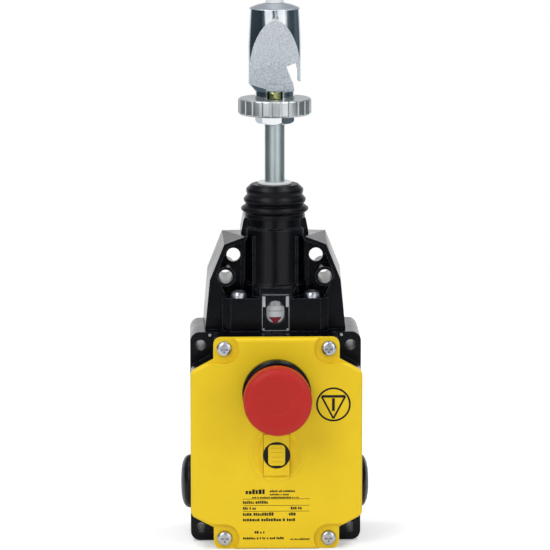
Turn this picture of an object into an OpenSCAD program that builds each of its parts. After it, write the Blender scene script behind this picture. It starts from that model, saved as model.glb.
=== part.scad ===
/* [Main housing] */
// Width of the housing and the cover across their side walls
housing_w = 90; // [88:1:100]
// Height of the housing
housing_h = 112.5; // [112:0.5:124]
// Depth of the housing from the mounting face to its corner lugs
housing_d = 43; // [42:0.5:48]
// Depth of the raised body between the corner lugs and the cover
body_d = 15; // [14:0.5:18]
// Wall thickness of the housing
housing_wall = 3.5; // [3:0.1:4]
// Wall thickness of the raised body at its rim
rim_wall = 4.6; // [4.4:0.1:5]
// Radius of the upright corners of the housing
housing_corner_r = 5; // [3:0.5:7]
// Diameter of the four fixing holes
fixing_hole_d = 5.5; // [5:0.1:6.4]
// Distance from the side of the housing to a fixing hole
fixing_inset_x = 5.5; // [5.5:0.1:7]
// Distance from the top or bottom of the housing to a fixing hole
fixing_inset_z = 7; // [6.5:0.1:8]
// Height of the cable entries above the bottom of the housing
entry_height = 27.5; // [24:0.5:34]
// Distance of the cable entries from the mounting face
entry_depth = 22; // [20:0.5:24]
// Wall diameter of the tapped cable entries
entry_d = 18.5; // [15:0.1:19]
// Diameter of the blanking plugs' heads
plug_d = 28.5; // [25:0.5:30]
// Height of the domed plug heads
plug_h = 5.2; // [4.5:0.1:7]

/* [Front cover] */
// Depth of the cover
cover_d = 5; // [4.8:0.1:7]
// Wall thickness of the cover
cover_wall = 2.6; // [2.2:0.1:3]
// How far the cover stands past the raised body
cover_overlap = 0.25; // [0:0.05:0.5]
// How far the cover's tabs are set in from its sides
tab_inset = 12; // [10:0.5:13]
// Distance from the top or bottom of the cover to its straight sides
slant_outer = 18; // [17:0.5:22]
// Distance from the top or bottom of the cover to the roots of its tabs
slant_inner = 11.5; // [10.5:0.5:13]
// Radius of the cover's upright corners
cover_corner_r = 4; // [3:0.5:5]
// Radius of the cover's front edge
cover_edge_r = 2; // [1:0.25:2.5]
// Distance of the cover screws from the side of a tab
screw_inset_x = 5.7; // [5.5:0.1:6.5]
// Distance of the cover screws from the top or bottom of the cover
screw_inset_z = 5.8; // [5.5:0.1:6.5]
// Depth of the recess round each cover screw
recess_depth = 2.4; // [1.5:0.1:3]
// Radius of the recess round each cover screw
recess_r = 7.8; // [6:0.1:8.5]

/* [Emergency stop] */
// Diameter of the mushroom button
button_d = 35.5; // [32:0.5:38]
// Thickness of the mushroom button
button_t = 14; // [13:0.5:16]
// How far the button's front stands off the cover
button_reach = 28; // [27:0.5:31]
// Height of the button's axis above the bottom of the housing
button_height = 83.8; // [82:0.1:86]
// How far the button is pressed in
button_travel = 5; // [3:0.5:5]
// Thickness of the collar under the button
collar_t = 5.2; // [4:0.1:5.5]
// Diameter of the button's stem
stem_d = 16; // [14:0.5:18]

/* [Reset knob] */
// Diameter of the reset knob
knob_d = 29; // [27:0.5:31]
// Height of the knob's axis above the bottom of the housing
knob_height = 50.5; // [49:0.1:52]
// Width of the knob's grip bar
knob_bar_w = 14.3; // [12:0.1:16]
// Depth of the knob's dish
knob_dish = 3.2; // [2:0.1:3.5]
// Throw of the crank pin that moves the latch bar
crank_throw = 2.8; // [2.5:0.1:3]

/* [Head] */
// Width of the head's front block
block_w = 55.6; // [52:0.2:60]
// Height of the head's front block
block_h = 17.8; // [16.5:0.1:19]
// Depth of the fins from the mounting face
fin_depth = 36; // [34:0.5:38]
// Width of the fins at the foot of the head
fin_w = 74.2; // [72:0.2:80]
// Height of the fins above the housing
fin_h = 49.7; // [49:0.1:52]
// Diameter of the tower
tower_d = 32; // [31.5:0.5:36]
// Height of the tower above the housing
tower_h = 54; // [53:0.5:58]
// Diameter of the four through holes in the fins
fin_hole_d = 7.3; // [6.5:0.1:8]
// Distance between the upper through holes
upper_hole_pitch = 43.8; // [43:0.1:46]
// Distance between the lower through holes
lower_hole_pitch = 52.4; // [51:0.1:54]
// Height of the upper through holes above the housing
upper_hole_height = 37.8; // [37:0.1:40]
// Height of the lower through holes above the housing
lower_hole_height = 28.3; // [27:0.1:29]
// Distance between the two screws on the front shelf
shelf_screw_pitch = 38.6; // [37:0.1:40]
// Width of the tension window
window_w = 14.6; // [13:0.1:16]

/* [Spindle] */
// Distance of the spindle's axis from the mounting face
spindle_depth = 24; // [23:0.5:25]
// Diameter of the plain shank
shank_d = 10.5; // [10:0.5:11.5]
// Outer diameter of the thread that carries the wheel
thread_d = 12; // [11.5:0.5:12]
// How far the spindle is drawn out from slack to its stop
spindle_travel = 14; // [10:0.5:14]
// Height of the lock nut's underside above the tower
shank_reach = 54.5; // [50:0.5:60]
// Radial clearance of every running fit
running_gap = 0.05; // [0.03:0.01:0.08]

/* [Tension wheel and rope clamp] */
// Diameter of the tension wheel
wheel_d = 38.5; // [34:0.5:44]
// Thickness of the tension wheel
wheel_t = 8.5; // [8:0.1:12]
// Number of grip flutes round the wheel
wheel_flutes = 24; // [18:1:30]
// Width across the flats of the lock nut
lock_nut_af = 18; // [17:0.5:19]
// Thickness of the lock nut
lock_nut_t = 4.5; // [4:0.1:6]
// Width across the flats of the neck nut
neck_nut_af = 14.2; // [13.8:0.1:14.6]
// Thickness of the neck nut
neck_nut_t = 3.5; // [3:0.1:4]
// Largest diameter of the rope clamp
clamp_d = 28.4; // [27:0.1:31]
// Height of the rope clamp without its rope guide
clamp_h = 46.6; // [44:0.1:50]
// Diameter of the rope hole
rope_hole_d = 6; // [5:0.1:6.4]

/* [Hidden] */
$fn = 64;
tiny = 0.01;
joint_gap = 0.1;

// Places that more than one piece shares
z_top = housing_h / 2;
z_bottom = -housing_h / 2;
y_joint = -housing_d;
y_lid = y_joint - body_d;
y_face = y_lid - cover_d;
cover_h = housing_h + 2 * cover_overlap;
tab_w = housing_w - 2 * tab_inset;
cover_screw_x = tab_w / 2 - screw_inset_x;
cover_screw_z = cover_h / 2 - screw_inset_z;
cover_screw_r = 2;
cover_screw_tap_r = 1.65;
cover_screw_depth = 12;
cover_pillar_r = 5.2;
gasket_boss_r = 7.4;
gasket_boss_d = 6;
gasket_t = 1;
z_button = z_bottom + button_height;
z_knob = z_bottom + knob_height;
z_entry = z_bottom + entry_height;
axis_y = -spindle_depth;
z_shelf = z_top + block_h;
z_tower = z_top + tower_h;
y_block = y_joint;

// Cavity of the housing, drawn in by the wall and the corner lugs
cavity_x = housing_w / 2 - housing_wall;
cavity_z = z_top - housing_wall;
cavity_core_x = 21;
cavity_core_z = z_top - 14.25;
cavity_side_z = z_top - 22.25;
cavity_tab_x = housing_w / 2 - 14;

// Button train
y_button = y_face - button_reach;
y_button_back = y_button + button_t;
stem_r = stem_d / 2;
neck_r = 11;
y_neck_end = y_face + 9;
estop_nut_t = 3.2;
plate_t = 1.5;
y_plate = y_joint - 5;
y_plate_back = y_plate + plate_t;
clip_t = 1.2;
y_stem_end = y_joint + 0.9;
yoke_t = 3;
y_yoke = y_stem_end + joint_gap;
yoke_half_w = 24;
rod_x_place = 20;
z_rods = 10.5;
rod_r = 2.5;

// Reset train
knob_r = knob_d / 2;
knob_recess = 5.5;
knob_floor = 2.5;
shaft_r = 4;
latch_t = 2;
y_latch = y_plate - latch_t - 0.2;
crank_pin_r = 1.5;
crank_disc_r = 5.2;
y_crank = y_latch - 0.4;
crank_slack = 0.18;
crank_x = crank_throw * sin(45);
latch_half_w = 6.5;
latch_foot_z = z_knob - 7.2;
latch_shelf_z = z_knob - 17;

// Spindle train
shank_r = shank_d / 2;
thread_r = thread_d / 2 - running_gap;
z_lock_nut = z_tower + shank_reach;
z_wheel = z_lock_nut + lock_nut_t + joint_gap;
z_neck_nut = z_wheel + wheel_t + joint_gap;
z_clamp = z_neck_nut + neck_nut_t;
z_spindle_top = z_clamp + 3.4;
bore_r = tower_d / 2 - 3.4;
sleeve_r = bore_r - running_gap;
plate_r = bore_r - 0.3;
bush_r = bore_r - 1.6;
bush_flange_t = 2;
z_bush_flange = z_tower - 6.5;
z_bush_top = z_tower + 7.2;
z_spring_plate = z_top + 12.6;
spring_plate_t = 3;
z_spring_low = z_spring_plate + spring_plate_t;
sleeve_wall = 1.6;
z_sleeve = z_top - 12.5;
z_cam_top = z_top - 19.5;
cam_h = 22;
z_cam = z_cam_top - cam_h;
cam_nut_t = 4;
z_spindle_end = z_cam - cam_nut_t - 1;
cam_rod_r = 4;
cam_slope = 0.15;
cam_half_top = 5.5;
cam_half_depth = 5;
z_plunger = z_cam_top - 6;
plunger_r = 2.3;
plunger_tip_r = 0.8;

// Contact blocks
contact_x = [13, 36];
contact_y = [-31, -housing_wall];
contact_z = [2, 37.5];
upper_chamber_z = [z_plunger - 6.3, z_plunger + 5.2];
lower_chamber_z = [4.5, 16.5];
chamber_x = [17.5, 27];
chamber_front_y = -27;
bridge_t = 1;
bridge_x = 22;
block_screw_x = 32;
block_screw_z = 19;

// Values that the modules below share
cover_outline = both_sides([
  [tab_w / 2, -cover_h / 2],
  [tab_w / 2, -cover_h / 2 + slant_inner],
  [housing_w / 2, -cover_h / 2 + slant_outer],
  [housing_w / 2, cover_h / 2 - slant_outer],
  [tab_w / 2, cover_h / 2 - slant_inner],
  [tab_w / 2, cover_h / 2]
]);
cavity_outline = both_sides([
  [cavity_core_x, -cavity_z],
  [cavity_core_x, -cavity_core_z],
  [cavity_tab_x, -cavity_core_z],
  [cavity_x, -cavity_side_z],
  [cavity_x, cavity_side_z],
  [cavity_tab_x, cavity_core_z],
  [cavity_core_x, cavity_core_z],
  [cavity_core_x, cavity_z]
]);
pin_x = tab_w / 2 + 1.6;
pin_z = z_top - 1.6;
pin_r = 0.8;
shelf_screw_y = y_joint + 4.4;
shelf_screw_r = 2.5;
shelf_screw_tap_r = 2.1;
rear_screw_x = 27;
rear_screw_y = -12;
block_screw_r = 1.9;
block_screw_tap_r = 1.6;
earth_x = -16;
earth_z = z_bottom + 14;
seal_t = 1;
seal_inner_r = entry_d / 2 + 0.6;
seal_outer_r = seal_inner_r + 2;
slant_run = (slant_outer - slant_inner) / tab_inset;
latch_pillar_r = 3.4;
latch_pillar_x = cover_screw_x - gasket_boss_r - 1.9;
latch_plate_half_w = latch_pillar_x + 4;
latch_plate_z = [z_knob - 24, z_button + 21];
latch_plate_pillars = [
  [-latch_pillar_x, latch_plate_z[1] - 4], [latch_pillar_x, latch_plate_z[1] - 4],
  [-latch_pillar_x, latch_plate_z[0] + 4], [latch_pillar_x, latch_plate_z[0] + 4]
];
fin_outline = both_sides([
  [fin_w / 2, z_top],
  [fin_w / 2 - 2.6, z_top + fin_h * 0.535],
  [fin_w / 2 - 3.5, z_top + fin_h * 0.575],
  [fin_w / 2 - 10.2, z_top + fin_h * 0.915],
  [fin_w / 2 - 21.5, z_top + fin_h]
]);
fin_back_outline = both_sides([
  [fin_w / 2 + 0.8, z_top],
  [fin_w / 2 - 1.6, z_top + fin_h * 0.56],
  [fin_w / 2 - 9.4, z_top + fin_h * 0.955],
  [fin_w / 2 - 19, z_top + fin_h * 0.96]
]);
fin_web = 3;
fin_rim = 2.2;
web_front = -22;
pocket_floor = 5.5;
// Pocket in front of each web, down to the shelf
front_pocket = [
  [12, z_top + fin_h + 4],
  [fin_w / 2 - 21.5, z_top + fin_h - fin_rim],
  [fin_w / 2 - 10.2 - fin_rim * 0.9, z_top + fin_h * 0.915 - fin_rim * 0.7],
  [fin_w / 2 - 3.5 - fin_rim * 1.1, z_top + fin_h * 0.58],
  [block_w / 2 + 0.5, z_top + fin_h * 0.46],
  [block_w / 2 - 2, z_shelf],
  [12, z_shelf]
];
tower_back_w = 17.8;
lens_t = 3;
lens_z = [z_top + 0.3, z_shelf + 2.6];
hood_w = window_w + 2;
hood_t = 3;
window_r = 4.7;
head_gasket_w = 47;
head_gasket_t = 0.8;
bush_skirt_r = 8.6;
spring_wire_r = 1.35;
spring_mean_r = plate_r - 0.4 - spring_wire_r;
ring_t = 1.2;
// Bellows with three folds that get smaller towards the top
bellows_folds = [[4.8, 17.8], [9.6, 16.4], [14.7, 15.1]];
bellows_h = 17.85;
z_bellows = z_tower + 4.3;
neck_r_tower = tower_d / 2 - 1.35;
clamp_r = clamp_d / 2;
clamp_top_r = clamp_r - 0.9;
z_hook = z_clamp + 12.1;
clamp_face_y = 5.2;
clamp_neck_r = 10.4;
neck_seat_r = neck_nut_af / sqrt(3) + 0.15;
guide_r = 4.8;
estop_spring_r = 12;
shroud_r = 15.2;
collar_r = 18;
rod_end_y = -16;
lower_bridge_y = -23.4;
reset_seal_r = 11;
ring_outer_r = 7.1;
pad_w = 8.9;
pad_h = 11.2;
upper_leads = [[upper_chamber_z[0] + 0.2, upper_chamber_z[0] + 2.6], [upper_chamber_z[1] - 2.6, upper_chamber_z[1] - 0.2]];
lower_leads = [[14, 15.2], [24.8, 26]];
lower_lead_z = [z_rods - 2.4, z_rods + 2.4];
plunger_end = 32;
terminals = [
  [29, upper_chamber_z[0] + 1.4], [29, upper_chamber_z[1] - 1.4],
  [16, 4.6], [30, 10.5]
];
// the cam's flank starts above the plunger, so the rest place follows the slope
plunger_offset = cam_slope * (z_cam_top - 4 - z_plunger);
terminal_t = 1;

// Normal of the side from a to b of an outline that runs anticlockwise
function side_normal(a, b) = let (v = b - a, l = norm(v)) [v.y / l, -v.x / l];
// The outline with every side moved outwards by d
function grown(p, d) = [
  for (i = [0 : len(p) - 1])
    let (
      a = p[(i + len(p) - 1) % len(p)],
      b = p[i],
      c = p[(i + 1) % len(p)],
      n1 = side_normal(a, b),
      n2 = side_normal(b, c)
    )
    b + d * (n1 + n2) / (1 + n1 * n2)
];

// The left half of an outline mirrored from its right half
function both_sides(p) = concat(p, [for (i = [len(p) - 1 : -1 : 0]) [-p[i].x, p[i].y]]);

module rod_z(r, z0, z1) {
  translate([0, 0, z0]) cylinder(r = r, h = z1 - z0);
}

module rod_y(r, y0, y1) {
  translate([0, y0, 0]) rotate([-90, 0, 0]) cylinder(r = r, h = y1 - y0);
}

module rod_x(r, x0, x1) {
  translate([x0, 0, 0]) rotate([0, 90, 0]) cylinder(r = r, h = x1 - x0);
}

module box(x, y, z) {
  translate([x[0], y[0], z[0]]) cube([x[1] - x[0], y[1] - y[0], z[1] - z[0]]);
}

// An outline in the X-Z plane, drawn out between two depths
module slab(y0, y1) {
  translate([0, y1, 0]) rotate([90, 0, 0]) linear_extrude(y1 - y0) children();
}

module both() {
  children();
  mirror([1, 0, 0]) children();
}

module at_cover_screws() {
  for (x = [-1, 1], z = [-1, 1]) translate([x * cover_screw_x, 0, z * cover_screw_z]) children();
}

// Circles at the cover screws, for outlines in the X-Z plane
module screw_circles(r) {
  for (x = [-1, 1], z = [-1, 1]) translate([x * cover_screw_x, z * cover_screw_z]) circle(r = r);
}

// A corner of an outline cut back to where an arc of radius r would meet its sides
function cut_corner(a, b, c, r) =
  let (
    u = (a - b) / norm(a - b),
    v = (c - b) / norm(c - b),
    t = r * sqrt((1 + u * v) / (1 - u * v))
  )
  [b + t * u, b + t * v];

// An outline whose outer corners are rounded with true arcs
module rounded_outline(p, r) {
  n = len(p);
  inner = grown(p, -r);
  outward = [
    for (i = [0 : n - 1])
      let (a = p[(i + n - 1) % n], b = p[i], c = p[(i + 1) % n])
      (b.x - a.x) * (c.y - b.y) - (b.y - a.y) * (c.x - b.x) > 0
  ];
  polygon([
    for (i = [0 : n - 1])
      each outward[i] ? cut_corner(p[(i + n - 1) % n], p[i], p[(i + 1) % n], r) : [p[i]]
  ]);
  for (i = [0 : n - 1]) if (outward[i]) translate(inner[i]) circle(r = r);
}

module on_spindle() {
  translate([0, axis_y, 0]) children();
}

// A coil spring along Z from z0 to z1 with closed ends
module coil(mean_r, wire_r, z0, z1, turns, sides = 8, steps = 18) {
  count = turns * steps;
  end_pitch = 2.06 * wire_r;
  rise = z1 - z0 - 2 * wire_r;
  climb = function(u) u < 1 ? u * end_pitch
    : u > turns - 1 ? rise - (turns - u) * end_pitch
    : end_pitch + (u - 1) * (rise - 2 * end_pitch) / (turns - 2);
  points = [
    for (i = [0 : count])
      let (
        a = 360 * i / steps,
        z = z0 + wire_r + climb(i / steps)
      )
      for (k = [0 : sides - 1])
        let (b = 360 * k / sides, r = mean_r + wire_r * cos(b))
        [r * cos(a), r * sin(a), z + wire_r * sin(b)]
  ];
  skin = [
    for (i = [0 : count - 1], k = [0 : sides - 1])
      let (n = (k + 1) % sides, a = i * sides, b = a + sides)
      each [[a + k, b + n, b + k], [a + k, a + n, b + n]]
  ];
  caps = [[for (k = [sides - 1 : -1 : 0]) k], [for (k = [0 : sides - 1]) count * sides + k]];
  polyhedron(points, concat(skin, caps));
}

// A pan-head screw that points along -Z, with its seat at z = 0 and a cross recess
module pan_screw(head_r, head_h, shank_r, length) {
  difference() {
    union() {
      rotate_extrude() polygon([
        [0, 0], [head_r, 0], [head_r, head_h * 0.45], [head_r * 0.86, head_h * 0.8],
        [head_r * 0.55, head_h], [0, head_h]
      ]);
      translate([0, 0, -length]) cylinder(r = shank_r, h = length + tiny);
    }
    for (a = [0, 90]) rotate([0, 0, a])
      translate([-head_r * 0.5, -head_r * 0.11, head_h * 0.42])
        cube([head_r, head_r * 0.22, head_h]);
  }
}

// Main housing

module main_housing() {
  color([0.07, 0.07, 0.08]) difference() {
    union() {
      slab(y_joint, 0) rounded_panel(housing_w, housing_h, housing_corner_r);
      // raised body between the corner lugs
      slab(y_lid, y_joint + 1)
        rounded_outline(grown(cover_outline, -cover_overlap), cover_corner_r - cover_overlap);
    }
    slab(y_lid - 1, y_lid + gasket_boss_d + 1) rim_cavity(gasket_boss_r);
    slab(y_lid + gasket_boss_d, y_joint + 1) rim_cavity(cover_pillar_r);
    slab(y_joint, -housing_wall) difference() {
      polygon(cavity_outline);
      translate([-shelf_screw_pitch / 2 - 7, cavity_z - 12])
        square([12.4, 13]);
      translate([shelf_screw_pitch / 2 - 5.4, cavity_z - 12])
        square([12.4, 13]);
    }
    // shallow relief that leaves a bearing rim on the mounting face
    slab(-0.8, 1) square([housing_w - 24, housing_h - 30], center = true);
    for (x = [-1, 1], z = [-1, 1])
      translate([x * (housing_w / 2 - fixing_inset_x), 0, z * (z_top - fixing_inset_z)])
        rod_y(fixing_hole_d / 2, y_joint - 1, 1);
    at_cover_screws() rod_y(cover_screw_tap_r, y_lid - 1, y_lid + cover_screw_depth);
    both() translate([pin_x, 0, pin_z]) rod_y(pin_r, y_joint - 1, y_joint + 4);
    on_spindle() rod_z(bore_r + 0.4, cavity_z - 20, z_top + 1);
    both() translate([0, -entry_depth, z_entry])
      rod_x(entry_d / 2, cavity_x - 5.5, housing_w / 2 + 1);
    both() translate([shelf_screw_pitch / 2, shelf_screw_y, 0])
      rod_z(shelf_screw_tap_r, z_top - 10, z_top + 1);
    both() translate([rear_screw_x, rear_screw_y, 0])
      rod_z(shelf_screw_tap_r, z_top - 10, z_top + 1);
    both() translate([block_screw_x, 0, block_screw_z]) rod_y(block_screw_tap_r, -9, -1.6);
    translate([earth_x, 0, earth_z]) rod_y(block_screw_tap_r, -9, -1.6);
  }
}

// Cavity of the raised body, less the bosses of the cover screws
module rim_cavity(boss_r) {
  difference() {
    polygon(grown(cover_outline, -rim_wall));
    screw_circles(boss_r);
  }
}

module rounded_panel(w, h, r) {
  square([w, h - 2 * r], center = true);
  square([w - 2 * r, h], center = true);
  for (x = [-1, 1], z = [-1, 1])
    translate([x * (w / 2 - r), z * (h / 2 - r)]) circle(r = r);
}

module locating_pins() {
  color("silver") both() translate([pin_x, 0, pin_z]) rod_y(pin_r, y_joint - 0.6, y_joint + 4);
}

// Cable plugs

module cable_plug() {
  color([0.07, 0.07, 0.08]) difference() {
    translate([housing_w / 2, -entry_depth, z_entry]) rotate([0, 90, 0]) rotate_extrude() polygon([
      [0, -8], [entry_d / 2 - running_gap - 0.6, -8], [entry_d / 2 - running_gap, -7.4],
      [entry_d / 2 - running_gap, 0], [plug_d / 2, 0], [plug_d / 2, plug_h * 0.17],
      [plug_d / 2 - 0.6, plug_h * 0.43], [plug_d / 2 - 1.7, plug_h * 0.63],
      [plug_d / 2 - 4, plug_h * 0.82], [plug_d / 2 - 7.5, plug_h * 0.95], [0, plug_h]
    ]);
    translate([housing_w / 2, -entry_depth, z_entry]) {
      rod_x(entry_d / 2 - 3, -9, -1);
      difference() {
        rod_x(seal_outer_r, -1, seal_t);
        rod_x(seal_inner_r, -2, seal_t + 1);
      }
    }
  }
}

module cable_plug_right() {
  cable_plug();
}

module cable_plug_left() {
  mirror([1, 0, 0]) cable_plug();
}

module plug_seals() {
  color([0.15, 0.15, 0.15]) both() translate([housing_w / 2, -entry_depth, z_entry]) difference() {
    rod_x(seal_outer_r, 0, seal_t);
    rod_x(seal_inner_r, -1, seal_t + 1);
  }
}

// Front cover

// A convex outline drawn out to the cover's face, with a rounded front edge
module soft_block(points) {
  inner = grown(points, -cover_corner_r);
  hull() for (p = inner) {
    translate([p.x, y_face + cover_edge_r, p.y]) rod_y(cover_corner_r, 0, cover_d - cover_edge_r, $fn = 32);
    for (a = [30, 60, 90]) translate([p.x, y_face + cover_edge_r * (1 - sin(a)), p.y])
      rod_y(cover_corner_r - cover_edge_r * (1 - cos(a)), 0, tiny, $fn = 32);
  }
}

module front_cover() {
  recess_floor = y_face + recess_depth;
  color([0.9, 0.76, 0.17]) difference() {
    union() {
      difference() {
        union() {
          soft_block(both_sides([[tab_w / 2, -cover_h / 2], [tab_w / 2, cover_h / 2]]));
          soft_block(both_sides([
            [tab_w / 2 - 8, -cover_h / 2 + slant_inner - 8 * slant_run],
            [housing_w / 2, -cover_h / 2 + slant_outer],
            [housing_w / 2, cover_h / 2 - slant_outer],
            [tab_w / 2 - 8, cover_h / 2 - slant_inner + 8 * slant_run]
          ]));
        }
        slab(y_face + cover_wall, y_lid + 1) polygon(grown(cover_outline, -cover_wall));
      }
      // pillars that the cover screws pass through, and pads behind their recesses
      at_cover_screws() rod_y(cover_pillar_r, y_face + cover_wall, y_lid);
      slab(y_face + cover_wall - 0.5, recess_floor + 1.3) intersection() {
        polygon(grown(cover_outline, -1));
        screw_circles(recess_r + 1);
      }
      // cup behind the reset knob and thickened seat behind the button
      translate([0, 0, z_knob]) rod_y(knob_r + 2.4, y_face + cover_wall, y_face + knob_recess + knob_floor);
      // pillars that carry the latch plate
      for (p = latch_plate_pillars)
        translate([p.x, 0, p.y]) rod_y(latch_pillar_r, y_face + cover_wall, y_plate);
    }
    for (x = [-1, 1], z = [-1, 1]) translate([x * cover_screw_x, 0, z * cover_screw_z]) {
      rod_y(cover_screw_r + 0.2, y_face - 1, y_lid + 1);
      rod_y(recess_r, y_face - 1, recess_floor);
      slab(y_face - 1, recess_floor)
        translate([x > 0 ? 0 : -12, z > 0 ? -recess_r : -12])
          square([12, 12 + recess_r]);
    }
    translate([0, 0, z_button]) rod_y(neck_r + 0.15, y_face - 1, y_face + 12);
    translate([0, 0, z_knob]) {
      rod_y(knob_r + running_gap, y_face - 1, y_face + knob_recess);
      rod_y(shaft_r + running_gap, y_face, y_face + knob_recess + knob_floor + 1);
    }
    for (p = latch_plate_pillars)
      translate([p.x, 0, p.y]) rod_y(1.25, y_plate - 6, y_plate + 1);
  }
}

module cover_gasket() {
  color([0.12, 0.12, 0.12]) slab(y_lid - gasket_t, y_lid) difference() {
    polygon(grown(cover_outline, -cover_wall - 0.1));
    rim_cavity(gasket_boss_r);
    screw_circles(cover_pillar_r + 0.2);
  }
}

module cover_screws() {
  color("silver") at_cover_screws() translate([0, y_face + recess_depth, 0]) rotate([90, 0, 0])
      pan_screw(4, 2.8, cover_screw_r - 0.4, cover_d - recess_depth + cover_screw_depth - 2);
}

// Head casting

module head_casting() {
  color([0.08, 0.08, 0.09]) difference() {
    union() {
      difference() {
        // fins, wider at the mounting face than at the front
        hull() {
          slab(-fin_depth, -fin_depth + tiny) polygon(fin_outline);
          slab(-tiny, 0) polygon(fin_back_outline);
        }
        // pockets in front of the webs and open pockets behind them
        both() slab(-fin_depth - 1, web_front) polygon(front_pocket);
        slab(web_front + fin_web, 1) difference() {
          polygon(grown(fin_outline, -3));
          translate([0, z_top]) square([fin_w * 2, 2 * pocket_floor], center = true);
          square([2 * tower_back_w, 400], center = true);
        }
      }
      // bosses of the lower through holes run the full depth
      both() translate([lower_hole_pitch / 2, 0, z_top + lower_hole_height])
        rod_y(fin_hole_d / 2 + 1.6, -fin_depth + 0.4, -0.4);
      front_block();
      tower();
    }
    on_spindle() {
      rod_z(bore_r, z_top - 1, z_bush_flange + bush_flange_t);
      rod_z(bush_r, z_bush_flange, z_tower + 10);
    }
    both() translate([upper_hole_pitch / 2, 0, z_top + upper_hole_height])
      rod_y(fin_hole_d / 2, -fin_depth - 1, 1);
    both() translate([lower_hole_pitch / 2, 0, z_top + lower_hole_height])
      rod_y(fin_hole_d / 2, -fin_depth - 1, 1);
    both() translate([shelf_screw_pitch / 2, shelf_screw_y, 0])
      rod_z(shelf_screw_r + 0.2, z_top - 1, z_shelf + 1);
    both() translate([rear_screw_x, rear_screw_y, 0])
      rod_z(shelf_screw_r + 0.2, z_top - 1, z_top + pocket_floor + 1);
    window_opening();
    // flat seat for the gasket
    slab(-fin_depth + 4, -4) translate([-head_gasket_w / 2, z_top - 1])
      square([head_gasket_w, 1 + head_gasket_t]);
  }
}

// Front block with chamfered upright corners
module front_block() {
  bevel = 4.2;
  translate([0, 0, z_top]) linear_extrude(block_h) polygon(both_sides([
    [block_w / 2, -fin_depth + 6],
    [block_w / 2, y_block + bevel * 0.8],
    [block_w / 2 - bevel, y_block]
  ]));
  // hood over the window
  box([-hood_w / 2, hood_w / 2], [y_block, y_block + 8], [z_shelf - 1, lens_z[1] + hood_t]);
}

module tower() {
  r = tower_d / 2;
  on_spindle() rotate_extrude() polygon([
    [0, z_top], [r + 0.9, z_top], [r + 0.9, z_shelf + 5.8], [r + 0.1, z_shelf + 7],
    [r, z_tower - 1], [r - 0.8, z_tower], [r - 1.4, z_tower],
    [r - 1.4, z_tower + 6.8], [0, z_tower + 6.8]
  ]);
  // body behind the round front, with sloping shoulders
  slab(axis_y - 2, 0) polygon(both_sides([
    [tower_back_w + 0.8, z_top],
    [tower_back_w, z_tower - 3.5],
    [tower_back_w - 1.2, z_tower + 3],
    [tower_back_w - 1.8, z_tower + 4.2]
  ]));
}

module window_opening() {
  box([-window_w / 2, window_w / 2], [y_block - 1, y_block + lens_t - 0.5], lens_z);
  slab(y_block, axis_y) stadium(window_r, z_top + 3.75 + window_r, z_top + 16.1 - window_r);
}

// An upright slot with round ends
module stadium(r, z0, z1) {
  translate([-r, z0]) square([2 * r, z1 - z0]);
  translate([0, z0]) circle(r = r);
  translate([0, z1]) circle(r = r);
}

module window_lens() {
  color([0.85, 0.88, 0.9, 0.5]) difference() {
    box([-window_w / 2, window_w / 2], [y_block - 0.5, y_block + lens_t - 0.5], lens_z);
    // sunk face inside a raised frame
    slab(y_block - 1, y_block + 0.3) stadium(window_r, z_top + 3.75 + window_r, z_top + 16.1 - window_r);
  }
}

module head_gasket() {
  color([0.12, 0.12, 0.12]) difference() {
    slab(-fin_depth + 4, -4) translate([-head_gasket_w / 2, z_top])
      square([head_gasket_w, head_gasket_t]);
    on_spindle() rod_z(bore_r + 0.4, z_top - 1, z_top + 2);
  }
}

module head_screws() {
  color("silver") {
    both() translate([shelf_screw_pitch / 2, shelf_screw_y, z_shelf])
      pan_screw(4.25, 3.5, shelf_screw_tap_r, block_h + 8);
    both() translate([rear_screw_x, rear_screw_y, z_top + pocket_floor])
      pan_screw(4.25, 3, shelf_screw_tap_r, pocket_floor + 8);
  }
}

// Spindle train

module guide_bush() {
  color([0.75, 0.65, 0.4]) on_spindle() difference() {
    union() {
      rod_z(bush_r, z_bush_flange, z_bush_top);
      rod_z(plate_r, z_bush_flange, z_bush_flange + bush_flange_t - 0.02);
      rod_z(bush_skirt_r, z_spring_low + spindle_travel + 0.2, z_bush_flange + 1);
    }
    rod_z(shank_r + running_gap, z_top, z_tower + 10);
  }
}

module main_spring() {
  color("silver") on_spindle()
    coil(spring_mean_r, spring_wire_r, z_spring_low, z_bush_flange, 6.5, 8, 16);
}

module spring_plate() {
  color("silver") on_spindle() difference() {
    union() {
      rod_z(plate_r, z_spring_plate, z_spring_low);
      rod_z(sleeve_r - sleeve_wall, z_spring_plate - 2, z_spring_low);
    }
    rod_z(shank_r, z_spring_plate - 3, z_spring_low + 1);
  }
}

module retaining_rings() {
  color([0.3, 0.3, 0.32]) on_spindle() {
    difference() {
      rod_z(shank_r + 1.8, z_spring_plate - 3.2, z_spring_plate - 2);
      rod_z(shank_r - 0.4, z_spring_plate - 4, z_spring_plate);
    }
    difference() {
      rod_z(shank_r + 1.8, z_bush_top + joint_gap, z_bush_top + joint_gap + ring_t);
      rod_z(shank_r - 0.4, z_bush_top, z_bush_top + 3);
    }
  }
}

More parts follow.
